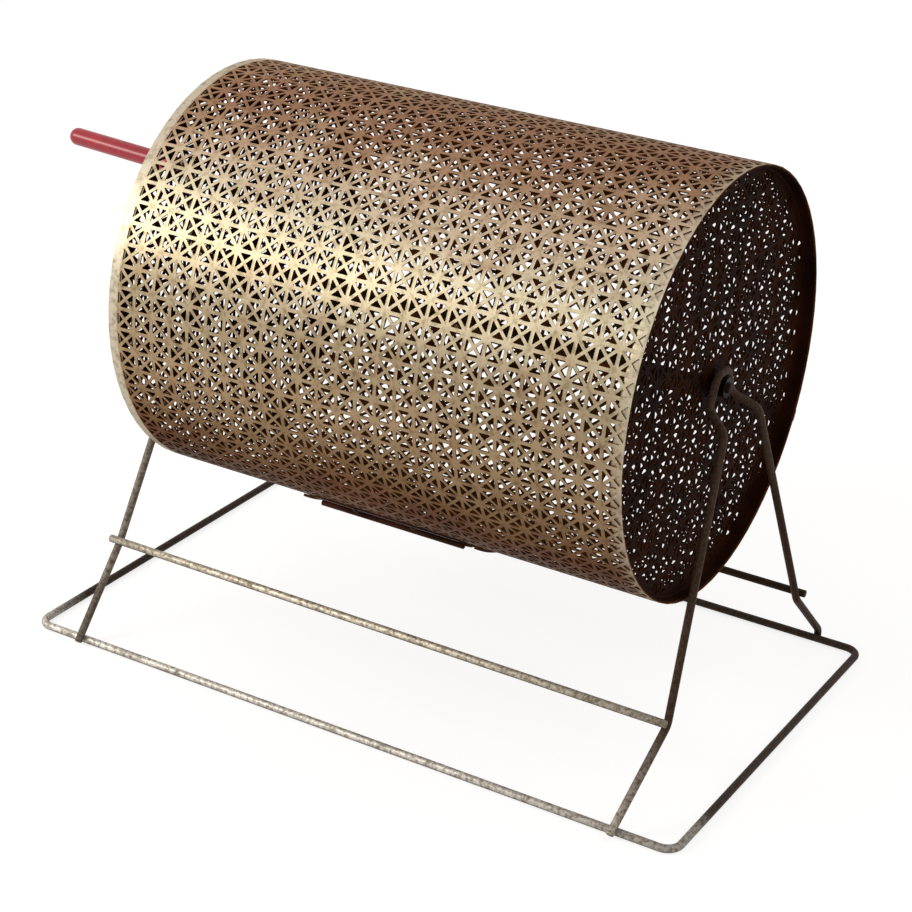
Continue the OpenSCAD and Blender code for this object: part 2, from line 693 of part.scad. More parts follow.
module hasp() {
    color("#352f29") on_drum() difference() {
        translate([0, 0, hasp_spans[0][0]]) linear_extrude(hasp_spans[2][1] - hasp_spans[0][0])
            rolled_edge(hasp_plate_r, hasp_a + hasp_len * degree, hasp_a, hasp_r,
                        hasp_knuckle_d, hasp_pin_d);
        for (i = [0, 2])
            arc_strip(drum_r - 2, 12, hasp_a - hasp_off * degree, hasp_a + hasp_off * degree,
                      hasp_spans[i][0] - knuckle_gap, hasp_spans[i][1] + knuckle_gap);
        arc_strip(hasp_plate_r - 1, leaf_t + 2, staple_a - slot_back * degree,
                  staple_a + slot_front * degree, door_mid - staple_r - staple_wire,
                  door_mid + staple_r + staple_wire);
    }
}

// Staple: a wire loop whose legs pass through the shell and are headed inside
module staple() {
    color("#4a4238") on_drum() rotate([0, 0, staple_a]) {
        for (s = [-1, 1]) translate([drum_r - sheet_t - 0.6, 0, door_mid + s * staple_r])
            rotate([0, 90, 0])
                cylinder(d = staple_wire, h = sheet_t + 0.6 + staple_h, $fn = 24);
        for (s = [-1, 1]) translate([drum_r - sheet_t - 0.8, 0, door_mid + s * staple_r])
            rotate([0, 90, 0]) cylinder(d = 1.5 * staple_wire, h = 0.7, $fn = 24);
        translate([drum_r + staple_h, 0, door_mid]) rotate([90, 0, 0]) rotate([0, 0, -90])
            rotate_extrude(angle = 180, $fn = 48) translate([staple_r, 0])
                circle(d = staple_wire, $fn = 24);
    }
}

base_loop();
leg_frame(-1);  // leg_frame_left
leg_frame(1);  // leg_frame_right
stretcher(-1);  // front_stretcher
stretcher(1);  // rear_stretcher
sleeve(-1);  // sleeve_left
sleeve(1);  // sleeve_right
drum_shell();
seam_rivets();
end_cap(-1);  // end_cap_left
end_cap(1);  // end_cap_right
hub(-1);  // hub_left
hub(1);  // hub_right
hub_rivets(-1);  // hub_rivets_left
hub_rivets(1);  // hub_rivets_right
set_screws();
washer(-1);  // washer_left
washer(1);  // washer_right
axle_crank();
grip();
hinge_leaf_shell();
hinge_rivets_shell();
hinge_pin();
staple();
door_panel();
door_rim();
hinge_leaf_door();
hinge_rivets_door();
hasp_base();
hasp_rivets();
hasp_pin();
hasp();
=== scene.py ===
import json
import math

import bmesh
import bpy
from mathutils import Matrix, Vector


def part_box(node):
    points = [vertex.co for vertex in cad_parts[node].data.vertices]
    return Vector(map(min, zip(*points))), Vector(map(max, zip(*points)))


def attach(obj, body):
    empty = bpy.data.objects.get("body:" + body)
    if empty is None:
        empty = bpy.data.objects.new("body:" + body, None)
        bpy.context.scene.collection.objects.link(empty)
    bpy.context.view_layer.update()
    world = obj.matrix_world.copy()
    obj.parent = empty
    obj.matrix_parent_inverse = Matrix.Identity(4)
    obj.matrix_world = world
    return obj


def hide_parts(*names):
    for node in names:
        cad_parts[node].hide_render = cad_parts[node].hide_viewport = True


# Table-top raffle drum: perforated brass drum on a bent-wire stand, in metres.
# X runs along the axle, Y to the back, Z up from the table.

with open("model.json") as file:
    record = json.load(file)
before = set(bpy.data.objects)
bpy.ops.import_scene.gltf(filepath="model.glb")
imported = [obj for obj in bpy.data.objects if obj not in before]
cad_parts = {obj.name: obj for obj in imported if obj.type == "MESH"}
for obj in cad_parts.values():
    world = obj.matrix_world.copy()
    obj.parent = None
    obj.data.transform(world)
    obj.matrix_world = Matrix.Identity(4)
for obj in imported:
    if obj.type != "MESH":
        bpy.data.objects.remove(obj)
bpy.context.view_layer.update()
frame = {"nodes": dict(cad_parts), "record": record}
nodes = frame["nodes"]
print("frame loaded:", len(nodes), "nodes")

# Points closer than this count as one
hair = 1e-6


# Colours and nodes
def hexColour(code):
    parts = [int(code[i:i + 2], 16) / 255 for i in (1, 3, 5)]
    return [*(c / 12.92 if c <= 0.04045 else ((c + 0.055) / 1.055) ** 2.4 for c in parts), 1.0]


def addNode(tree, kind, settings=None, links=None):
    node = tree.nodes.new("ShaderNode" + kind)
    for key, value in (settings or {}).items():
        if key == "stops":
            while len(node.color_ramp.elements) < len(value):
                node.color_ramp.elements.new(0.5)
            for element, (place, code) in zip(node.color_ramp.elements, value):
                element.position = place
                element.color = hexColour(code)
        elif isinstance(key, int) or key in node.inputs:
            node.inputs[key].default_value = value
        else:
            setattr(node, key, value)
    for key, source in (links or {}).items():
        tree.links.new(source, node.inputs[key])
    return node


# 1 where a surface is seen directly, in a reflection or through glass
def seenRays(tree):
    path = addNode(tree, "LightPath")
    seen = addNode(tree, "Math", {"operation": "MAXIMUM"},
                   {0: path.outputs["Is Camera Ray"], 1: path.outputs["Is Glossy Ray"]})
    return addNode(tree, "Math", {"operation": "MAXIMUM"},
                   {0: seen.outputs[0], 1: path.outputs["Is Transmission Ray"]}).outputs[0]


def newFinish(name):
    finish = bpy.data.materials.new(name)
    finish.use_nodes = True
    tree = finish.node_tree
    tree.nodes.clear()
    place = addNode(tree, "TexCoord").outputs["Object"]
    return finish, tree, place


def closeFinish(tree, settings, links):
    shader = addNode(tree, "BsdfPrincipled", settings, links)
    addNode(tree, "OutputMaterial", None, {"Surface": shader.outputs[0]})


# Where the painted light and shade lies on the drum: 0 at its underside, 1 along its top.
# Clouds 60 mm across make its edge ragged. A noise's scale is how many of its patches lie in a
# metre
def drumHeight(tree, place, ragged):
    parts = addNode(tree, "SeparateXYZ", None, {0: place})
    level = addNode(tree, "MapRange", {"From Min": drumSpan[0], "From Max": drumSpan[1]},
                    {"Value": parts.outputs["Z"]})
    cloud = addNode(tree, "TexNoise", {"Scale": 16, "Detail": 4, "Roughness": 0.6},
                    {"Vector": place})
    shift = addNode(tree, "MapRange", {"From Min": 0.3, "From Max": 0.7, "To Min": -ragged,
                                       "To Max": ragged}, {"Value": cloud.outputs["Fac"]})
    return addNode(tree, "Math", {"operation": "ADD"},
                   {0: level.outputs[0], 1: shift.outputs[0]}).outputs[0]


# Rolled brass sheet. Its tone by height is painted light and shade: dark red-brown as painted
# shade underneath, pale as a painted highlight along the front of the top, and copper-brown as a
# painted reflection along the top. Painted light also makes it lighter at the left end and darker
# towards the right. It is pale at both ends, with copper-brown patches 26 mm across and specks of
# 4 mm
def tarnishedShadedBrass(name, tones, copper, edge, rough, metal, fleck):
    finish, tree, place = newFinish(name)
    tone = addNode(tree, "ValToRGB", {"stops": tones},
                   {"Fac": drumHeight(tree, place, 0.05)})
    patch = addNode(tree, "TexNoise", {"Scale": 38, "Detail": 4, "Distortion": 0.6},
                    {"Vector": place})
    where = addNode(tree, "ValToRGB", {"stops": [(0.56, "#000000"), (0.7, "#b0b0b0")]},
                    {"Fac": patch.outputs["Fac"]})
    warm = addNode(tree, "Mix", {"data_type": "RGBA", 7: hexColour(copper)},
                   {0: where.outputs[0], 6: tone.outputs[0]})
    spots = addNode(tree, "TexNoise", {"Scale": 240, "Detail": 4, "Roughness": 0.65},
                    {"Vector": place})
    speck = addNode(tree, "ValToRGB", {"stops": [(0.32, fleck), (0.52, "#ffffff")]},
                    {"Fac": spots.outputs["Fac"]})
    along = addNode(tree, "SeparateXYZ", None, {0: place}).outputs["X"]
    # Painted light: lighter at the left end and darker towards the right, as the lamp's light
    # falls off
    paintedFalloff = addNode(tree, "MapRange", {"From Min": -0.17, "From Max": 0.17, "To Min": 1.06,
                                       "To Max": 0.9}, {"Value": along})
    shadedAlong = addNode(tree, "HueSaturation", None, {"Color": warm.outputs[2],
                                                 "Value": paintedFalloff.outputs[0]})
    # Pale bands at both ends, stronger at the left
    ends = [addNode(tree, "MapRange", {"From Min": start, "From Max": stop, "To Max": amount},
                    {"Value": along}) for start, stop, amount in edgeBands]
    paleEnds = addNode(tree, "Math", {"operation": "ADD"},
                     {0: ends[0].outputs[0], 1: ends[1].outputs[0]})
    pale = addNode(tree, "Mix", {"data_type": "RGBA", 7: hexColour(edge)},
                   {0: paleEnds.outputs[0], 6: shadedAlong.outputs[0]})
    colour = addNode(tree, "Mix", {"data_type": "RGBA", "blend_type": "MULTIPLY", 0: 0.7},
                     {6: pale.outputs[2], 7: speck.outputs[0]})
    gloss = addNode(tree, "MapRange", {"To Min": rough - 0.06, "To Max": rough + 0.1},
                    {"Value": spots.outputs["Fac"]})
    bump = addNode(tree, "Bump", {"Strength": 0.3, "Distance": 0.0002},
                   {"Height": spots.outputs["Fac"]})
    closeFinish(tree, {"Metallic": metal, "Specular IOR Level": 0.25,
                       "Specular Tint": hexColour("#c8b59a")},
                {"Base Color": colour.outputs[2], "Roughness": gloss.outputs[0],
                 "Normal": bump.outputs[0]})
    return finish


# Nickel-plated round wire: mottled and bright where the plate is whole, with brown rust stains
# 10 mm across and specks 2.4 mm. Its undersides are darkened to the same brown as painted shade.
# A span is painted shade in that brown where the wire stands in shade: an axis, where the
# darkening starts, where it is full, and how much of the plate it takes
def rustyShadedWire(name, light, dark, rustAndShade, spans):
    finish, tree, place = newFinish(name)
    cloud = addNode(tree, "TexNoise", {"Scale": 95, "Detail": 5, "Roughness": 0.6},
                    {"Vector": place})
    spots = addNode(tree, "TexNoise", {"Scale": 420, "Detail": 4, "Roughness": 0.75},
                    {"Vector": place})
    tone = addNode(tree, "ValToRGB", {"stops": [(0.4, dark), (0.56, light)]},
                   {"Fac": spots.outputs["Fac"]})
    parts = addNode(tree, "SeparateXYZ", None, {0: place})
    stain = addNode(tree, "ValToRGB", {"stops": [(0.53, "#000000"), (0.64, "#a8a8a8")]},
                    {"Fac": cloud.outputs["Fac"]})
    facing = addNode(tree, "SeparateXYZ", None,
                     {0: addNode(tree, "TexCoord").outputs["Normal"]})
    # Painted shade: the undersides turn rust brown
    underShade = addNode(tree, "MapRange", {"From Min": 0.1, "From Max": -0.6, "To Max": 0.85},
                    {"Value": facing.outputs["Z"]})
    where = addNode(tree, "Math", {"operation": "MAXIMUM"},
                    {0: stain.outputs[0], 1: underShade.outputs[0]})
    # Painted shade: each span darkens the wire to rust brown
    for axis, start, stop, amount in spans:
        span = addNode(tree, "MapRange", {"From Min": start, "From Max": stop,
                                          "To Max": amount}, {"Value": parts.outputs[axis]})
        where = addNode(tree, "Math", {"operation": "MAXIMUM"},
                        {0: where.outputs[0], 1: span.outputs[0]})
    brown = addNode(tree, "Mix", {"data_type": "RGBA", 6: hexColour(rustAndShade[0]),
                                  7: hexColour(rustAndShade[1])}, {0: spots.outputs["Fac"]})
    colour = addNode(tree, "Mix", {"data_type": "RGBA"},
                     {0: where.outputs[0], 6: tone.outputs[0], 7: brown.outputs[2]})
    gloss = addNode(tree, "MapRange", {"To Min": 0.45, "To Max": 0.6},
                    {"Value": where.outputs[0]})
    metal = addNode(tree, "MapRange", {"To Min": 0.6, "To Max": 0.05},
                    {"Value": where.outputs[0]})
    bump = addNode(tree, "Bump", {"Strength": 0.5, "Distance": 0.0004},
                   {"Height": spots.outputs["Fac"]})
    closeFinish(tree, {"Specular IOR Level": 0.22, "Specular Tint": hexColour("#b09070")},
                {"Base Color": colour.outputs[2], "Roughness": gloss.outputs[0],
                 "Metallic": metal.outputs[0], "Normal": bump.outputs[0]})
    return finish


# Dulled brass and oxidised steel with little shine, brown-black in clouds 33 mm across. The
# brown-black is partly the real dark of dulled brass, oxide and rust, and partly painted shade, as
# these surfaces sit in shade inside the drum, at its ends and under it. It serves the sheet's
# inside, the discs and the small fittings
def darkShadedMetal(name, light, dark, rough, shine=0.02):
    finish, tree, place = newFinish(name)
    cloud = addNode(tree, "TexNoise", {"Scale": 30, "Detail": 5}, {"Vector": place})
    tone = addNode(tree, "ValToRGB", {"stops": [(0.35, dark), (0.65, light)]},
                   {"Fac": cloud.outputs["Fac"]})
    gloss = addNode(tree, "MapRange", {"To Min": rough - 0.1, "To Max": rough + 0.1},
                    {"Value": cloud.outputs["Fac"]})
    closeFinish(tree, {"Specular IOR Level": shine, "Specular Tint": hexColour("#6a3a20")},
                {"Base Color": tone.outputs[0], "Roughness": gloss.outputs[0]})
    return finish


# Dipped vinyl: soft even red with a low sheen and faint ripples 8 mm long from the dip
def dippedVinyl():
    finish, tree, place = newFinish("dippedVinyl")
    ripple = addNode(tree, "TexNoise", {"Scale": 120, "Detail": 3}, {"Vector": place})
    tone = addNode(tree, "ValToRGB", {"stops": [(0.3, "#951523"), (0.7, "#a91d2c")]},
                   {"Fac": ripple.outputs["Fac"]})
    bump = addNode(tree, "Bump", {"Strength": 0.12, "Distance": 0.0003},
                   {"Height": ripple.outputs["Fac"]})
    closeFinish(tree, {"Roughness": 0.3, "IOR": 1.5},
                {"Base Color": tone.outputs[0], "Normal": bump.outputs[0]})
    return finish


# The drum's lowest and highest point, and the pale bands at its two ends
drumSpan = (0.0908, 0.3436)
edgeBands = ((-0.1622, -0.163, 0.8), (0.158, 0.168, 0.45))
# Tones by height are painted light and shade: dark red-brown underneath as painted shade, pale at
# 0.78 as a painted highlight along the front of the top, copper-brown along the top as a painted
# reflection
brassLightAndShade = [
    (0.06, "#2e0f05"), (0.17, "#5e3019"), (0.28, "#82664a"), (0.42, "#a2896a"),
    (0.6, "#a7967a"), (0.78, "#cfc3a6"), (0.9, "#c4a98d"), (0.96, "#a38165"), (1.0, "#977058"),
]
finishes = {
    "drum_brass": tarnishedShadedBrass("rolledBrassPlate", brassLightAndShade, copper="#8f6a46",
                                 edge="#cfc6b2", fleck="#a89a80", rough=0.42, metal=0.55),
    # The discs and the sheet's inside are brown-black as painted shade
    "cap_brass": darkShadedMetal("shadedBrassPlate", "#2c140a", "#180904", 0.6),
    "inside": darkShadedMetal("shadedSheetInside", "#643a1a", "#36200f", 0.6),
    # Each wire's spans paint shade in rust brown: the base loop behind its front rail and on its
    # right, the rear stretcher and both stretcher ends, the left leg all over and most at its top,
    # foot and back, the right leg above its feet, and the rod inside the drum
    "stand_wire": rustyShadedWire("nickelledWire", "#ded8cf", "#978e84", ("#120805", "#3c2c24"),
                           (("Y", -0.135, -0.09, 0.97), ("X", 0.08, 0.2, 0.5))),
    "stretcher": rustyShadedWire("nickelledStretcher", "#ddd3c2", "#948772", ("#120805", "#3c2c24"),
                          (("Y", -0.05, 0.05, 1), ("X", -0.12, -0.2, 0.5),
                           ("X", 0.04, 0.19, 0.6))),
    "left_leg": rustyShadedWire("nickelledLeg", "#cfc6b8", "#85786a", ("#1c100b", "#4a3a2e"),
                         (("Z", -0.6, 0.4, 0.95), ("Z", 0.06, 0.03, 0.8),
                          ("Y", -0.06, 0.02, 1), ("Z", 0.13, 0.2, 1))),
    "right_leg": rustyShadedWire("shadedRustyLeg", "#cfc6b8", "#85786a", ("#0f0603", "#452c1c"),
                          (("Z", -0.02, 0.05, 0.96), ("Y", -0.1, 0.05, 1))),
    "crank_rod": rustyShadedWire("nickelledRod", "#8f8676", "#5f5547", ("#0c0402", "#2c1a10"),
                          (("X", -0.172, -0.16, 1),)),
    # Fittings near black and the hinge dark brown: oxide and rust, with painted shade
    "dark_hardware": darkShadedMetal("oxidisedShadedSteel", "#100704", "#060201", 0.45, 0.15),
    "hinge": darkShadedMetal("rustedShadedHinge", "#40241a", "#200f09", 0.5, 0.2),
    "grip_vinyl": dippedVinyl(),
}
print("finishes made:", len(finishes))

# Shared piece work. Edges turned by more than these degrees stay sharp
sharp = {"sheet": 35, "wire": 60, "grip": 50}


def finishPiece(bm, name, body, slot, replaced=(), sharpAngle=sharp["sheet"], lining=None,
                coat=None):
    mesh = bpy.data.meshes.new(name)
    bm.to_mesh(mesh)
    bm.free()
    mesh.shade_smooth()
    mesh.set_sharp_from_angle(angle=math.radians(sharpAngle))
    mesh.materials.append(finishes[coat or slot])
    if lining:
        mesh.materials.append(finishes[lining])
    piece = bpy.data.objects.new(name, mesh)
    bpy.context.scene.collection.objects.link(piece)
    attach(piece, body)
    if replaced:
        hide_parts(*replaced)
    print(name, "made:", len(mesh.polygons), "faces")


def vertsOf(geometry):
    return [g for g in geometry if isinstance(g, bmesh.types.BMVert)]


def edgesOf(geometry):
    return [g for g in geometry if isinstance(g, bmesh.types.BMEdge)]


def openEdges(bm, test):
    return [e for e in bm.edges if e.is_boundary and all(test(v.co) for v in e.verts)]


# Carries the open edges that pass a test on by one step
def carryOn(bm, test, step):
    made = bmesh.ops.extrude_edge_only(bm, edges=openEdges(bm, test))["geom"]
    bmesh.ops.translate(bm, vec=step, verts=vertsOf(made))


wireDetail = {"sides": 20, "bendStep": 9, "leastSteps": 3, "flatEnd": 8}


# Round wire bent round the corners of a route: runs are extruded and bends are spun
def bentWire(bm, corners, radii, diameter, closed=False, sides=wireDetail["sides"]):
    first, nextOne = Vector(corners[0]), Vector(corners[1])
    heading = (nextOne - first).normalized()
    turn = heading.to_track_quat("Z", "Y").to_matrix().to_4x4()
    ring = bmesh.ops.create_circle(bm, segments=sides, radius=diameter / 2,
                                   matrix=Matrix.Translation(first) @ turn)["verts"]
    edges = list({e for v in ring for e in v.link_edges})
    if not closed:
        bmesh.ops.contextual_create(bm, geom=edges)
    here = first
    for i in range(1, len(corners)):
        corner = Vector(corners[i])
        into = (corner - here).normalized()
        last = i == len(corners) - 1
        if last:
            stop = corner
        else:
            out = (Vector(corners[i + 1]) - corner).normalized()
            angle = into.angle(out)
            cut = radii[i - 1] * math.tan(angle / 2)
            stop = corner - into * cut
        run = bmesh.ops.extrude_edge_only(bm, edges=edges)["geom"]
        bmesh.ops.translate(bm, vec=stop - here, verts=vertsOf(run))
        ringVerts = set(vertsOf(run))
        edges = [e for e in edgesOf(run) if all(v in ringVerts for v in e.verts)]
        if last:
            break
        axis = into.cross(out).normalized()
        centre = stop + axis.cross(into) * radii[i - 1]
        steps = max(wireDetail["leastSteps"], round(math.degrees(angle) / wireDetail["bendStep"]))
        spun = bmesh.ops.spin(bm, geom=edges + list({v for e in edges for v in e.verts}),
                              cent=centre, axis=axis, angle=angle, steps=steps)
        edges = edgesOf(spun["geom_last"])
        here = corner + out * cut
    if not closed:
        bmesh.ops.contextual_create(bm, geom=edges)
    bmesh.ops.remove_doubles(bm, verts=bm.verts, dist=hair)
    bmesh.ops.recalc_face_normals(bm, faces=bm.faces)


# Rounds off the flat ends of a wire, which are its only faces with many sides
def roundEnds(bm, size):
    rims = [e for e in bm.edges if len(e.link_faces) == 2
            and max(len(f.verts) for f in e.link_faces) > wireDetail["flatEnd"]]
    bmesh.ops.bevel(bm, geom=rims, offset=size, segments=3, profile=0.5, affect="EDGES",
                    material=-1)


# Stand
stand = {
    "wire": 0.00476, "railX": 0.22172, "railY": 0.13467, "cornerRadius": 0.009,
    "backFoot": ((0.191, 0.13943, 0.0004), (0.191, 0.13943, 0.0065)),
    "frontFoot": (0.1855, 0.14102, 0.00305),
    "knee": (0.1918, 0.0904, 0.050), "shoulder": (0.1803, 0.023, 0.1997),
    "inner": (0.1659, 0.015, 0.2084), "arch": (0.1659, 0.0068, 0.22558),
    "radii": (0.006, 0.014, 0.009, 0.009, 0.006),
    "legRound": 0.0006, "stretcherRound": 0.0005,
}


def makeBase():
    bm = bmesh.new()
    x, y, z = stand["railX"], stand["railY"], stand["wire"] / 2
    route = [(0, y, z), (x, y, z), (x, -y, z), (-x, -y, z), (-x, y, z), (0, y, z)]
    bentWire(bm, route, [stand["cornerRadius"]] * 4, stand["wire"], closed=True)
    finishPiece(bm, "baseLoop", "stand", "stand_wire", ["base_loop"], sharp["wire"])


def makeLegs():
    oneSide = [stand["knee"], stand["shoulder"], stand["inner"], stand["arch"]]
    radii = list(stand["radii"])
    for side, name in ((-1, "left"), (1, "right")):
        back = [(side * x, y, z) for x, y, z in (*stand["backFoot"], *oneSide)]
        front = [(side * x, -y, z) for x, y, z in (*oneSide[::-1], stand["frontFoot"])]
        bm = bmesh.new()
        bentWire(bm, back + front, radii + radii[:0:-1], stand["wire"])
        roundEnds(bm, stand["legRound"])
        finishPiece(bm, "legFrame_" + name, "stand", "stand_wire", ["leg_frame_" + name],
                    sharp["wire"], coat=name + "_leg")


def makeStretchers():
    for name in ("front_stretcher", "rear_stretcher"):
        low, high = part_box(name)
        centre = (low + high) / 2
        bm = bmesh.new()
        bentWire(bm, [(low.x, centre.y, centre.z), (high.x, centre.y, centre.z)], [],
                 stand["wire"])
        roundEnds(bm, stand["stretcherRound"])
        finishPiece(bm, name.replace("_s", "S"), "stand", "stand_wire", [name], sharp["wire"],
                    coat="stretcher")


makeBase()
makeLegs()
makeStretchers()

# Perforated sheet: between its bars each square cell has four triangular openings, whose base
# corners are clipped. Bars and clipped corners are shares of a cell
shell = {
    "radius": 0.1264, "halfLength": 0.1684, "sheet": 0.0008, "axle": 0.2172,
    "border": 0.0056, "columns": 26, "rows": 62, "seam": 333.1, "seamStep": 3.07,
    "lap": 0.0068, "lapParts": 8, "windowX": (-0.0665, 0.0475),
    "windowTurn": (242.31, 274.04), "windowStrip": 0.0035, "windowParts": 8,
}
shellBars = {"straight": 0.167, "diagonal": 0.144, "cutBase": 0.08, "cutSide": 0.06}
capBars = {"straight": 0.16, "diagonal": 0.138, "cutBase": 0.07, "cutSide": 0.055}

# The flat grid that is rolled up: pitch along the axle, rowStep round the drum
perDegree = math.radians(1) * shell["radius"]
pitch = (2 * shell["halfLength"] - shell["border"]) / shell["columns"]
rowStep = (360 - shell["seamStep"]) * perDegree / shell["rows"]
gridLeft = -shell["halfLength"] + shell["border"]
gridLow = (shell["seam"] + shell["seamStep"] / 2 - 360) * perDegree


def boxCorners(low, high):
    return [low, (high[0], low[1]), high, (low[0], high[1])]


# A closed line of edges through corners on the flat sheet, each side in so many parts
def lineThrough(bm, corners, parts):
    ring = []
    for (a, b), (c, d) in zip(corners, corners[1:] + corners[:1]):
        for k in range(parts):
            t = k / parts
            ring.append(bm.verts.new((a + (c - a) * t, b + (d - b) * t, 0)))
    return [bm.edges.new((ring[i - 1], ring[i])) for i in range(len(ring))]


def openingPoints(along, deep, size, bars):
    slope = along / deep
    brace = bars["diagonal"] * size / 2 * math.hypot(1, slope)
    top = (deep - bars["straight"] * size) / 2
    apex = Vector((0, brace / slope))
    end = Vector((slope * top - brace, top))
    inward = (apex - end).normalized() * bars["cutSide"] * size
    base = end - Vector((bars["cutBase"] * size, 0))
    side = end + inward
    return [apex, side, base, Vector((-base.x, base.y)), Vector((-side.x, side.y))]


def starCell(bm, centre, along, around, bars, kept=(0, 1, 2, 3)):
    corners = boxCorners((centre[0] - along / 2, centre[1] - around / 2),
                         (centre[0] + along / 2, centre[1] + around / 2))
    square = [bm.verts.new((*p, 0)) for p in corners]
    if not kept:
        return [*square, bm.faces.new(square)]
    loops = [square]
    for quarter in kept:
        sizes = (along, around) if quarter % 2 == 0 else (around, along)
        turn = Matrix.Rotation(math.radians(90 * quarter), 2)
        loops.append([bm.verts.new((centre[0] + p.x, centre[1] + p.y, 0))
                      for p in (turn @ q for q in openingPoints(*sizes, along, bars))])
    edges = [bm.edges.new((loop[i - 1], loop[i])) for loop in loops for i in range(len(loop))]
    filled = bmesh.ops.triangle_fill(bm, use_beauty=True, edges=edges)["geom"]
    return [*(v for loop in loops for v in loop), *edges,
            *(g for g in filled if g not in edges)]


def arrayed(bm, geometry, step, count):
    every = list(geometry)
    for i in range(1, count):
        copy = bmesh.ops.duplicate(bm, geom=geometry)["geom"]
        bmesh.ops.translate(bm, vec=Vector(step) * i, verts=vertsOf(copy))
        every += copy
    return every


# A field of the rolled sheet's cells, from one column and row of the grid
def cellField(bm, column, row, columns, rows):
    centre = (gridLeft + (column + 0.5) * pitch, gridLow + (row + 0.5) * rowStep)
    cell = starCell(bm, centre, pitch, rowStep, shellBars)
    arrayed(bm, arrayed(bm, cell, (pitch, 0, 0), columns), (0, rowStep, 0), rows)
    bmesh.ops.remove_doubles(bm, verts=bm.verts, dist=hair)


# The outer sides of a field of cells. Every other open edge is far shorter
def cellSides(bm, size):
    return [e for e in bm.edges if e.is_boundary and e.calc_length() > 0.9 * size]


# Cuts the window through the flat sheet, with a plain strip round it
def cutWindow(bm, outer, inner):
    (u0, v0), (u1, v1) = outer
    wide, deep = u1 - u0, v1 - v0

    def within(face, margin):
        middle = face.calc_center_median()
        return (u0 - margin < middle.x < u1 + margin
                and v0 - margin < middle.y < v1 + margin)

    def onLine(p):
        return (u0 - hair < p.x < u1 + hair and v0 - hair < p.y < v1 + hair
                and min(abs(p.x - u0), abs(p.x - u1), abs(p.y - v0), abs(p.y - v1)) < hair)

    def travel(p):
        if abs(p.y - v0) < hair:
            return p.x - u0
        if abs(p.x - u1) < hair:
            return wide + p.y - v0
        if abs(p.y - v1) < hair:
            return wide + deep + u1 - p.x
        return 2 * wide + deep + v1 - p.y

    near = [f for f in bm.faces if within(f, pitch)]
    for spot, facing in (((u0, 0, 0), (1, 0, 0)), ((u1, 0, 0), (1, 0, 0)),
                         ((0, v0, 0), (0, 1, 0)), ((0, v1, 0), (0, 1, 0))):
        parts = set(near) | {e for f in near for e in f.edges} | {v for f in near for v in f.verts}
        cut = bmesh.ops.bisect_plane(bm, geom=list(parts), dist=hair / 10, plane_co=spot,
                                     plane_no=facing)
        near = [g for g in cut["geom"] if isinstance(g, bmesh.types.BMFace)]
    bmesh.ops.delete(bm, geom=[f for f in bm.faces if within(f, 0)], context="FACES")
    line = [v for v in bm.verts if onLine(v.co)]
    for corner in boxCorners(*outer):
        if not any((v.co - Vector((*corner, 0))).length < 10 * hair for v in line):
            line.append(bm.verts.new((*corner, 0)))
    line.sort(key=lambda v: travel(v.co))
    joined = [bm.edges.get((a, b)) or bm.edges.new((a, b))
              for a, b in zip(line, line[1:] + line[:1])]
    joined += lineThrough(bm, boxCorners(*inner), shell["windowParts"])
    bmesh.ops.triangle_fill(bm, use_beauty=True, edges=joined)


def roll(bm, radius):
    for v in bm.verts:
        turn = v.co.y / shell["radius"]
        v.co = (v.co.x, radius * math.cos(turn), shell["axle"] + radius * math.sin(turn))


# The way from the axle to a face
def outFromAxle(face):
    out = face.calc_center_median() - Vector((0, 0, shell["axle"]))
    out.x = 0
    return out


def faceOutwards(bm):
    bmesh.ops.recalc_face_normals(bm, faces=bm.faces)
    face = max(bm.faces, key=lambda f: f.calc_area())
    if face.normal.dot(outFromAxle(face)) < 0:
        bmesh.ops.reverse_faces(bm, faces=bm.faces)


# Gives a rolled sheet its thickness towards the axle
def thicken(bm, radius, thickness):
    outside = set(bm.faces)
    made = bmesh.ops.extrude_face_region(bm, geom=bm.faces[:], use_keep_orig=True)["geom"]
    for face in bm.faces:
        face.material_index = 0 if face in outside else 1
    share = (radius - thickness) / radius
    bmesh.ops.scale(bm, vec=(1, share, share), verts=vertsOf(made),
                    space=Matrix.Translation((0, 0, -shell["axle"])))
    bmesh.ops.recalc_face_normals(bm, faces=bm.faces)


def makeShell():
    bm = bmesh.new()
    cellField(bm, 0, 0, shell["columns"], shell["rows"])
    (x0, x1), (t0, t1) = shell["windowX"], shell["windowTurn"]
    low, high, strip = t0 * perDegree, t1 * perDegree, shell["windowStrip"]
    cutWindow(bm, ((x0 - strip, low - strip), (x1 + strip, high + strip)),
              ((x0, low), (x1, high)))
    top = gridLow + rowStep * shell["rows"]
    carryOn(bm, lambda p: p.x < gridLeft + hair, (-shell["border"], 0, 0))
    carryOn(bm, lambda p: p.y > top - hair, (0, shell["seamStep"] * perDegree, 0))
    roll(bm, shell["radius"])
    bmesh.ops.remove_doubles(bm, verts=bm.verts, dist=hair)
    faceOutwards(bm)
    thicken(bm, shell["radius"], shell["sheet"])
    finishPiece(bm, "drumSheet", "drum", "drum_brass", ["drum_shell"], lining="inside")


# The sheet's overlap along the seam
def makeLap():
    bm = bmesh.new()
    radius = shell["radius"] + shell["sheet"]
    bmesh.ops.create_grid(bm, x_segments=1, y_segments=shell["lapParts"], size=0.5)
    bmesh.ops.scale(bm, vec=(2 * shell["halfLength"], shell["lap"], 1), verts=bm.verts)
    bmesh.ops.translate(bm, vec=(0, shell["seam"] * perDegree, 0), verts=bm.verts)
    roll(bm, radius)
    faceOutwards(bm)
    thicken(bm, radius, shell["sheet"])
    finishPiece(bm, "lapStrip", "drum", "drum_brass", lining="inside")


makeShell()
makeLap()

# End caps: flat star sheet with a turned flange, seen from its open side
cap = {
    "radius": 0.12475, "face": 0.1609, "rim": 0.1674, "sheet": 0.0008, "pitch": 0.0127,
    "margin": 0.0012, "cellMargin": 0.002, "bore": 0.0034, "plate": 0.0113, "bend": 0.0012,
    "reach": 10, "rimParts": 160, "boreParts": 32,
}


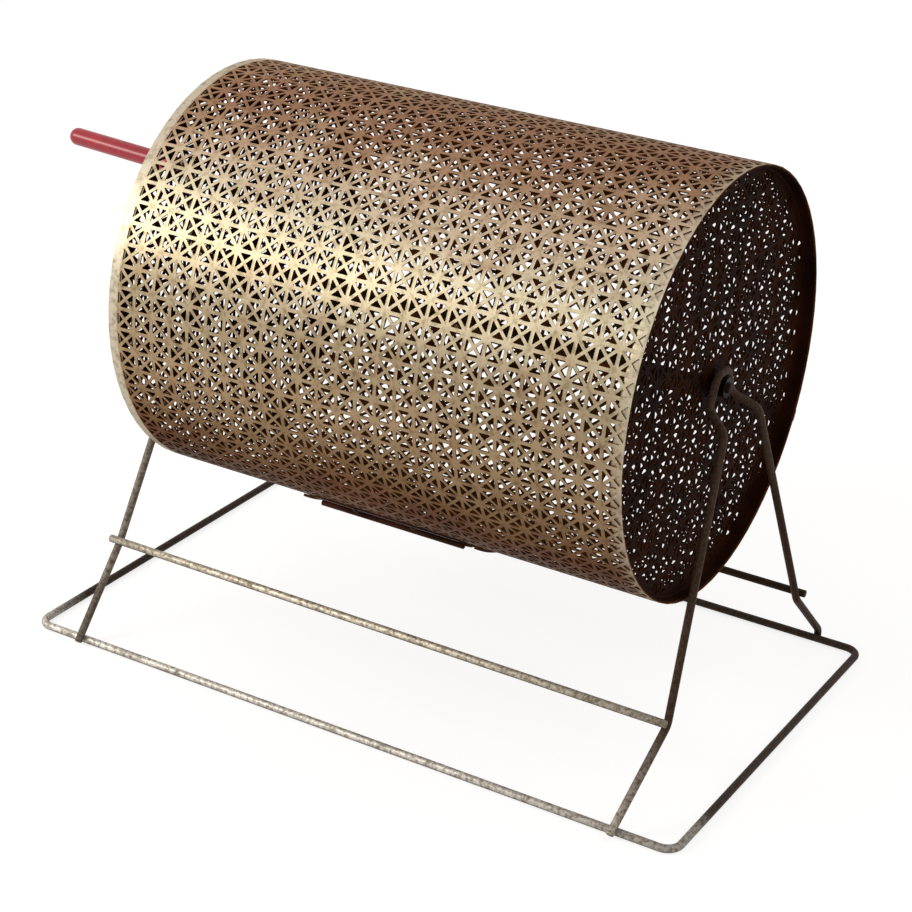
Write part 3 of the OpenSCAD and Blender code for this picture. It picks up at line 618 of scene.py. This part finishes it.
def makeCap(side, name):
    bm = bmesh.new()
    size, radius = cap["pitch"], cap["radius"]
    loose = []
    for i in range(-cap["reach"], cap["reach"]):
        for j in range(-cap["reach"], cap["reach"]):
            middle = Vector(((i + 0.5) * size, (j + 0.5) * size))
            corner = Vector((abs(middle.x) + size / 2, abs(middle.y) + size / 2))
            whole = (corner.length < radius - cap["cellMargin"]
                     and not (i in (-1, 0) and j in (-1, 0)))
            kept = []
            for quarter in range(4):
                turn = Matrix.Rotation(math.radians(90 * quarter), 2)
                hole = [middle + turn @ p for p in openingPoints(size, size, size, capBars)]
                away = [p.length for p in hole]
                if max(away) < radius - cap["margin"] and min(away) > cap["plate"]:
                    kept.append(quarter)
                    if not whole:
                        loop = [bm.verts.new((p.x, p.y, 0)) for p in hole]
                        loose += [bm.edges.new((loop[k - 1], loop[k])) for k in range(len(loop))]
            if whole:
                starCell(bm, middle, size, size, capBars, kept)
    bmesh.ops.remove_doubles(bm, verts=bm.verts, dist=hair)
    ragged = cellSides(bm, size) + loose
    for ringRadius, parts in ((radius, cap["rimParts"]), (cap["bore"], cap["boreParts"])):
        ring = bmesh.ops.create_circle(bm, segments=parts, radius=ringRadius)["verts"]
        ragged += {e for v in ring for e in v.link_edges}
    bmesh.ops.triangle_fill(bm, use_beauty=True, edges=ragged)
    bmesh.ops.recalc_face_normals(bm, faces=bm.faces)
    carryOn(bm, lambda p: p.xy.length > radius - hair, (0, 0, cap["rim"] - cap["face"]))
    bmesh.ops.recalc_face_normals(bm, faces=bm.faces)
    bend = [e for e in bm.edges if len(e.link_faces) == 2
            and all(abs(v.co.z) < hair and v.co.xy.length > radius - hair for v in e.verts)]
    bmesh.ops.bevel(bm, geom=bend, offset=cap["bend"], segments=3, profile=0.5,
                    affect="EDGES", material=-1)
    flat = max(bm.faces, key=lambda f: abs(f.normal.z) - f.calc_center_median().xy.length)
    thickness = cap["sheet"] if flat.normal.z > 0 else -cap["sheet"]
    bmesh.ops.solidify(bm, geom=bm.faces[:], thickness=thickness)
    bmesh.ops.recalc_face_normals(bm, faces=bm.faces)
    upright = Matrix(((0, 0, side, side * cap["face"]), (1, 0, 0, 0),
                      (0, side, 0, shell["axle"]), (0, 0, 0, 1)))
    bmesh.ops.transform(bm, matrix=upright, verts=bm.verts)
    # Faces that look straight away from the axle, the flange's outside, take the drum's finish
    for face in bm.faces:
        face.material_index = int(face.normal.dot(outFromAxle(face)) > 0.9 * radius)
    finishPiece(bm, "endCap_" + name, "drum", "cap_brass", ["end_cap_" + name],
                lining="drum_brass")


makeCap(-1, "left")
makeCap(1, "right")

# Door: the same star sheet, curved to lie over the window
door = {
    "x": (-0.072, 0.053), "turn": (240.50, 276.08), "radius": 0.1275, "sheet": 0.0008,
    "starsX": (-0.066, 0.047), "starsTurn": (243.0, 273.0), "sideParts": 12,
}


def makeDoor():
    bm = bmesh.new()
    (left, right), (low, high) = door["starsX"], door["starsTurn"]
    column = math.ceil((left - gridLeft) / pitch)
    columns = math.floor((right - gridLeft) / pitch) - column
    row = math.ceil((low * perDegree - gridLow) / rowStep)
    rows = math.floor((high * perDegree - gridLow) / rowStep) - row
    cellField(bm, column, row, columns, rows)
    ragged = cellSides(bm, pitch)
    (x0, x1), (t0, t1) = door["x"], door["turn"]
    ragged += lineThrough(bm, boxCorners((x0, t0 * perDegree), (x1, t1 * perDegree)),
                          door["sideParts"])
    bmesh.ops.triangle_fill(bm, use_beauty=True, edges=ragged)
    roll(bm, door["radius"])
    faceOutwards(bm)
    thicken(bm, door["radius"], door["sheet"])
    finishPiece(bm, "doorSheet", "door", "drum_brass", ["door_panel"], lining="inside")


makeDoor()

# Axle and crank from one rod, with the grip pushed over its end
crank = {
    "rod": 0.00635, "sides": 32, "endRound": 0.0008, "armX": 0.203, "bend": 0.008,
    "secondBendZ": 0.2615, "tilt": 2.7, "endX": 0.1719,
}
grip = {
    "start": 0.0042, "length": 0.083, "tip": 0.003, "radius": 0.0056, "lip": 0.0008,
    "clearance": 0.00002, "mouthDepth": 0.004, "mouthRound": 0.0003,
    "rings": (0.08, 0.3, 0.55, 0.8), "tipStep": 10, "sides": 40,
}
gripTurn = math.radians(crank["tilt"])
gripWay = Vector((-math.cos(gripTurn), 0, math.sin(gripTurn)))
bendCut = crank["bend"] * math.tan((math.pi / 2 - gripTurn) / 2)
topCorner = Vector((-crank["armX"], 0, crank["secondBendZ"] + bendCut))
gripMouth = topCorner + gripWay * (bendCut + grip["start"])


def makeCrank():
    bm = bmesh.new()
    route = [(crank["endX"], 0, shell["axle"]), (-crank["armX"], 0, shell["axle"]), topCorner,
             gripMouth + gripWay * (grip["length"] - grip["tip"])]
    bentWire(bm, route, [crank["bend"]] * 2, crank["rod"], sides=crank["sides"])
    roundEnds(bm, crank["endRound"])
    finishPiece(bm, "axleCrank", "drum", "crank_rod", ["axle_crank"], sharp["wire"])


def makeGrip():
    bm = bmesh.new()
    r, lip, length = grip["radius"], grip["lip"], grip["length"]
    bore = crank["rod"] / 2 + grip["clearance"]
    profile = [(bore, grip["mouthDepth"]), (bore, grip["mouthRound"]),
               (bore + grip["mouthRound"], 0), (r - lip, 0), (r - 0.3 * lip, 0.3 * lip),
               (r, lip)]
    profile += [(r, share * length) for share in grip["rings"]]
    profile += [(r * math.cos(math.radians(a)), length - r + r * math.sin(math.radians(a)))
                for a in range(0, 91, grip["tipStep"])]
    line = [bm.verts.new((x, 0, z)) for x, z in profile]
    edges = [bm.edges.new(pair) for pair in zip(line, line[1:])]
    bmesh.ops.spin(bm, geom=line + edges, cent=(0, 0, 0), axis=(0, 0, 1), angle=2 * math.pi,
                   steps=grip["sides"], use_merge=True)
    bmesh.ops.remove_doubles(bm, verts=bm.verts, dist=hair)
    bmesh.ops.holes_fill(bm, edges=openEdges(bm, lambda p: True), sides=grip["sides"])
    bmesh.ops.recalc_face_normals(bm, faces=bm.faces)
    turn = gripWay.to_track_quat("Z", "Y").to_matrix().to_4x4()
    bmesh.ops.transform(bm, matrix=Matrix.Translation(gripMouth) @ turn, verts=bm.verts)
    finishPiece(bm, "grip_sleeve", "drum", "grip_vinyl", ["grip"], sharp["grip"])


makeCrank()
makeGrip()

# Remaining CAD nodes take their slot's finish, and the hinge one of its own
for part in frame["record"]["subparts"]:
    name = part["node"]
    if name in nodes:
        mesh = nodes[name].data
        mesh.materials.clear()
        mesh.materials.append(finishes["hinge" if name.startswith("hinge")
                                       else part["material_slot"]])
print("finishes given to the CAD nodes")

# Stage, camera and light
stage = {
    "floor": "#e4e2df", "shadow": "#9c9a98", "glow": 0.78, "size": 6.0,
    "world": 0.7, "backdrop": 1.0,
}
view = {
    "lens": 91.04, "sensor": 36, "place": (0.62986, -1.11030, 0.71576),
    "turn": (65.259, -2.563, 30.866),
}
keyLight = {
    "place": (-1.1, -1.05, 0.85), "target": (-0.1, 0, 0.22), "size": (0.7, 0.4), "power": 11,
    "colour": "#fffaee",
}


def makeStage():
    bm = bmesh.new()
    bmesh.ops.create_grid(bm, x_segments=1, y_segments=1, size=stage["size"] / 2)
    mesh = bpy.data.meshes.new("floor")
    bm.to_mesh(mesh)
    bm.free()
    floor = bpy.data.objects.new("floor", mesh)
    bpy.context.scene.collection.objects.link(floor)
    paint = bpy.data.materials.new("paleFloor")
    paint.use_nodes = True
    tree = paint.node_tree
    tree.nodes.clear()
    matt = addNode(tree, "BsdfDiffuse", {"Color": hexColour(stage["floor"])})
    faint = addNode(tree, "BsdfDiffuse", {"Color": hexColour(stage["shadow"])})
    glow = addNode(tree, "Emission", {"Color": hexColour("#ffffff"),
                                      "Strength": stage["glow"]})
    white = addNode(tree, "AddShader", None, {0: faint.outputs[0], 1: glow.outputs[0]})
    both = addNode(tree, "MixShader", None, {0: seenRays(tree), 1: matt.outputs[0],
                                             2: white.outputs[0]})
    addNode(tree, "OutputMaterial", None, {"Surface": both.outputs[0]})
    mesh.materials.append(paint)


def makeWorld():
    world = bpy.data.worlds.new("studio")
    bpy.context.scene.world = world
    world.use_nodes = True
    tree = world.node_tree
    tree.nodes.clear()
    soft, bright = (addNode(tree, "Background", {"Color": hexColour("#ffffff"),
                                                 "Strength": stage[level]})
                    for level in ("world", "backdrop"))
    both = addNode(tree, "MixShader", None, {0: seenRays(tree), 1: soft.outputs[0],
                                             2: bright.outputs[0]})
    addNode(tree, "OutputWorld", None, {"Surface": both.outputs[0]})


def makeLight(name, place, target, size, power, colour):
    lamp = bpy.data.lights.new(name, "AREA")
    lamp.shape = "RECTANGLE"
    lamp.size, lamp.size_y = size
    lamp.energy = power
    lamp.color = hexColour(colour)[:3]
    holder = bpy.data.objects.new(name, lamp)
    bpy.context.scene.collection.objects.link(holder)
    holder.location = place
    aim = Vector(target) - Vector(place)
    holder.rotation_euler = aim.to_track_quat("-Z", "Y").to_euler()


def makeCamera():
    lens = bpy.data.cameras.new("view")
    lens.lens, lens.sensor_width = view["lens"], view["sensor"]
    camera = bpy.data.objects.new("view", lens)
    bpy.context.scene.collection.objects.link(camera)
    camera.location = view["place"]
    camera.rotation_euler = [math.radians(a) for a in view["turn"]]
    bpy.context.scene.camera = camera


makeStage()
makeWorld()
makeCamera()
makeLight("key", **keyLight)
bpy.context.scene.view_settings.view_transform = "Standard"
